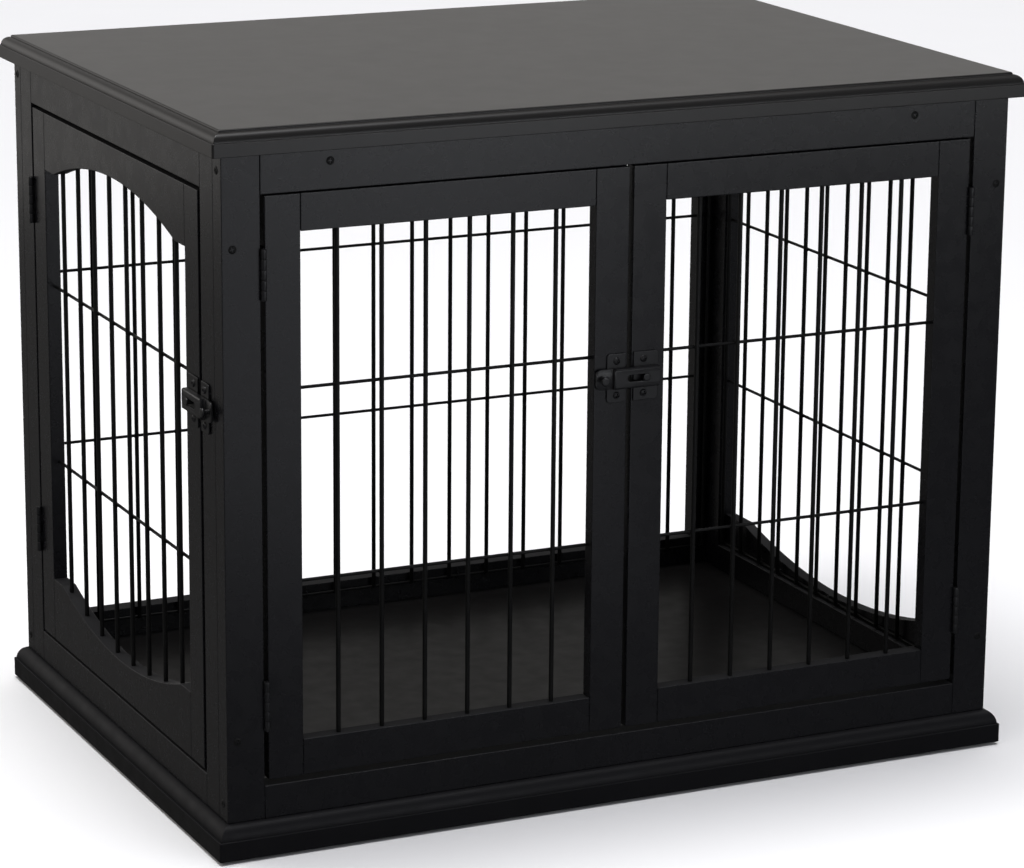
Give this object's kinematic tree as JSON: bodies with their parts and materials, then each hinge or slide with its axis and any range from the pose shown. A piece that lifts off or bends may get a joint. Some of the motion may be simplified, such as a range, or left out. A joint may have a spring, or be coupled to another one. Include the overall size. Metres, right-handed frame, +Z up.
{
  "type": "dog crate end table",
  "caption": "Black end table that is also a dog crate: framed cabinet with wire grilles, a pair of front doors, an arched side door, slide latches and a moulded top and base.",
  "frame": {"origin": "on the floor, under the middle of the table", "axes": "+X along the width, to the right of someone facing the double doors; -Y out of the front; +Z up"},
  "size_m": [0.81, 0.585, 0.66],
  "materials": {
    "satin_paint": "satin black paint on wood and fibreboard",
    "top_paint": "satin black paint, smooth table top",
    "floor_film": "black faced thin board, satin",
    "coated_wire": "black powder coated steel wire",
    "black_steel": "black coated pressed steel",
    "foot_plastic": "matt black plastic"
  },
  "bodies": {
    "root": {"base_plinth": "satin_paint", "table_top": "top_paint", "floor_panel": "floor_film", "foot_front_left": "foot_plastic", "foot_front_right": "foot_plastic", "foot_back_left": "foot_plastic", "foot_back_right": "foot_plastic", "front_frame_left_stile": "satin_paint", "front_frame_right_stile": "satin_paint", "front_frame_top_rail": "satin_paint", "front_frame_bottom_rail": "satin_paint", "left_side_front_stile": "satin_paint", "left_side_back_stile": "satin_paint", "left_side_top_rail": "satin_paint", "left_side_bottom_rail": "satin_paint", "right_side_front_stile": "satin_paint", "right_side_back_stile": "satin_paint", "right_side_arched_top_rail": "satin_paint", "right_side_arched_bottom_rail": "satin_paint", "right_side_grille": "coated_wire", "back_frame_left_stile": "satin_paint", "back_frame_right_stile": "satin_paint", "back_frame_top_rail": "satin_paint", "back_frame_bottom_rail": "satin_paint", "back_grille": "coated_wire", "left_door_lower_hinge_frame_leaf": "black_steel", "left_door_upper_hinge_frame_leaf": "black_steel", "right_door_lower_hinge_frame_leaf": "black_steel", "right_door_upper_hinge_frame_leaf": "black_steel", "side_door_lower_hinge_frame_leaf": "black_steel", "side_door_upper_hinge_frame_leaf": "black_steel", "side_latch_keeper": "black_steel"},
    "left_door": {"left_door_grille": "coated_wire", "left_door_left_stile": "satin_paint", "left_door_right_stile": "satin_paint", "left_door_bottom_rail": "satin_paint", "left_door_top_rail": "satin_paint", "left_door_lower_hinge_door_leaf": "black_steel", "left_door_upper_hinge_door_leaf": "black_steel", "front_latch_keeper": "black_steel"},
    "right_door": {"right_door_grille": "coated_wire", "right_door_left_stile": "satin_paint", "right_door_right_stile": "satin_paint", "right_door_bottom_rail": "satin_paint", "right_door_top_rail": "satin_paint", "right_door_lower_hinge_door_leaf": "black_steel", "right_door_upper_hinge_door_leaf": "black_steel", "front_latch_plate": "black_steel"},
    "side_door": {"side_door_grille": "coated_wire", "side_door_left_stile": "satin_paint", "side_door_right_stile": "satin_paint", "side_door_bottom_rail": "satin_paint", "side_door_top_rail": "satin_paint", "side_door_lower_hinge_door_leaf": "black_steel", "side_door_upper_hinge_door_leaf": "black_steel", "side_latch_plate": "black_steel"},
    "front_latch": {"front_latch_bar": "black_steel"},
    "side_latch": {"side_latch_bar": "black_steel"}
  },
  "joints": [
    {"name": "right_door_hinge", "type": "hinge", "parent": "root", "child": "right_door", "pos_m": [0.35535, -0.2829, 0.3355], "axis": [0, 0, 1], "range_deg": [0, 175]},
    {"name": "left_door_hinge", "type": "hinge", "parent": "root", "child": "left_door", "pos_m": [-0.35535, -0.2829, 0.3355], "axis": [0, 0, -1], "range_deg": [0, 175]},
    {"name": "side_door_hinge", "type": "hinge", "parent": "root", "child": "side_door", "pos_m": [-0.3954, 0.22905, 0.3395], "axis": [0, 0, -1], "range_deg": [0, 175]},
    {"name": "front_latch_slide", "type": "slide", "parent": "right_door", "child": "front_latch", "axis": [1, 0, 0], "range_m": [0, 0.0155]},
    {"name": "side_latch_slide", "type": "slide", "parent": "side_door", "child": "side_latch", "axis": [0, 1, 0], "range_m": [0, 0.0155]}
  ],
  "couplings": [
    {"joint": "left_door_hinge", "follows": "right_door_hinge", "ratio": 1}
  ]
}
